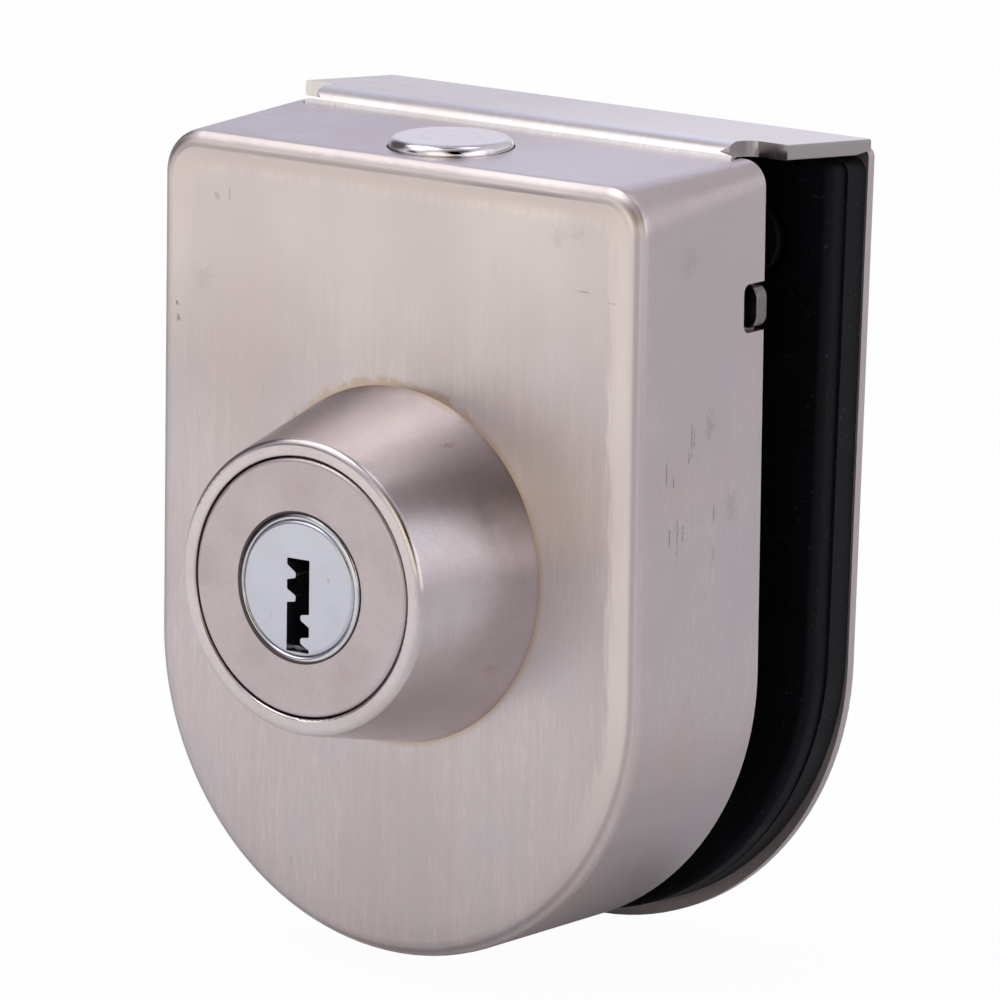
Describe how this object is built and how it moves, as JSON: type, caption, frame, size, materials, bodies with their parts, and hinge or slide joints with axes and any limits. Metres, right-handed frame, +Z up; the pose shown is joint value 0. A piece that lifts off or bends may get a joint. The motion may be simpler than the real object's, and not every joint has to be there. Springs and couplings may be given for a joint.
{
  "type": "glass cabinet door lock",
  "caption": "D-shaped stainless lock that clamps over a glass door's edge; its keyed cylinder lifts a round bolt out of the top.",
  "frame": {"origin": "where the cylinder's axis meets the front of the glass, on the front pad's glass face", "axes": "+Z up, the way the bolt rises; +Y from the case through the glass to the back plate; +X to the right, seen from the front"},
  "size_m": [0.0568, 0.0522, 0.0797],
  "materials": {
    "brushed_case": "vertically brushed stainless sheet",
    "brushed_bracket": "brushed stainless sheet, bright along the bend",
    "brushed_plate": "vertically brushed stainless sheet",
    "turned_rose": "stainless, turned and brushed round the cone",
    "face_ring": "fine satin stainless",
    "chromed_cylinder": "polished chrome",
    "chromed_plug": "satin chrome face",
    "chromed_bolt": "polished chrome",
    "zinc_plated": "zinc plated steel",
    "die_cast_zinc": "die cast zinc, as cast",
    "brass_pins": "turned brass",
    "spring_steel": "drawn spring wire",
    "black_pad": "black rubber, slightly glossy",
    "black_carrier": "black moulded plastic",
    "black_foot": "black moulded plastic",
    "black_screw": "black oxide steel"
  },
  "bodies": {
    "lock_case": {"case_cover": "brushed_case", "cover_posts": "zinc_plated", "cover_screws": "zinc_plated", "rose": "turned_rose", "cylinder_cap": "face_ring", "cylinder_body": "chromed_cylinder", "cylinder_nut": "zinc_plated", "nut_washer": "zinc_plated", "driver_pins": "brass_pins", "pin_springs": "spring_steel", "clamp_bracket": "brushed_bracket", "bolt_guide": "die_cast_zinc", "guide_screws": "zinc_plated", "front_pad": "black_pad", "back_plate": "brushed_plate", "clamp_nuts": "zinc_plated", "pad_carrier": "black_carrier", "back_pad": "black_pad"},
    "plug": {"plug": "chromed_plug", "key_pins": "brass_pins", "cam": "zinc_plated", "crank_pin": "zinc_plated", "cam_screw": "zinc_plated"},
    "bolt": {"bolt": "chromed_bolt", "bolt_tail": "zinc_plated", "tail_screws": "zinc_plated"},
    "left_clamp_foot": {"clamp_foot_left": "black_foot"},
    "left_clamp_screw": {"clamp_screw_left": "black_screw"},
    "right_clamp_foot": {"clamp_foot_right": "black_foot"},
    "right_clamp_screw": {"clamp_screw_right": "black_screw"}
  },
  "joints": [
    {"name": "plug_turn", "type": "hinge", "parent": "lock_case", "child": "plug", "pos_m": [0, -0.0352, 0], "axis": [0, 1, 0], "range_deg": [0, 90]},
    {"name": "bolt_slide", "type": "slide", "parent": "lock_case", "child": "bolt", "axis": [0, 0, 1], "range_m": [0, 0.01344]},
    {"name": "left_foot_advance", "type": "slide", "parent": "lock_case", "child": "left_clamp_foot", "axis": [0, -0.9993, 0.0384], "range_m": [0, 0.0015]},
    {"name": "left_screw_turn", "type": "hinge", "parent": "left_clamp_foot", "child": "left_clamp_screw", "pos_m": [-0.0186, 0.01665, 0.02877], "axis": [0, -0.9993, 0.0384], "range_deg": [0, 540]},
    {"name": "right_foot_advance", "type": "slide", "parent": "lock_case", "child": "right_clamp_foot", "axis": [0, -0.9993, 0.0384], "range_m": [0, 0.0015]},
    {"name": "right_screw_turn", "type": "hinge", "parent": "right_clamp_foot", "child": "right_clamp_screw", "pos_m": [0.0186, 0.01665, 0.02877], "axis": [0, -0.9993, 0.0384], "range_deg": [0, 540]}
  ],
  "couplings": [
    {"joint": "plug_turn", "follows": "bolt_slide", "rad_per_m": 116.92},
    {"joint": "left_screw_turn", "follows": "left_foot_advance", "rad_per_m": 6283.2},
    {"joint": "right_screw_turn", "follows": "right_foot_advance", "rad_per_m": 6283.2}
  ]
}
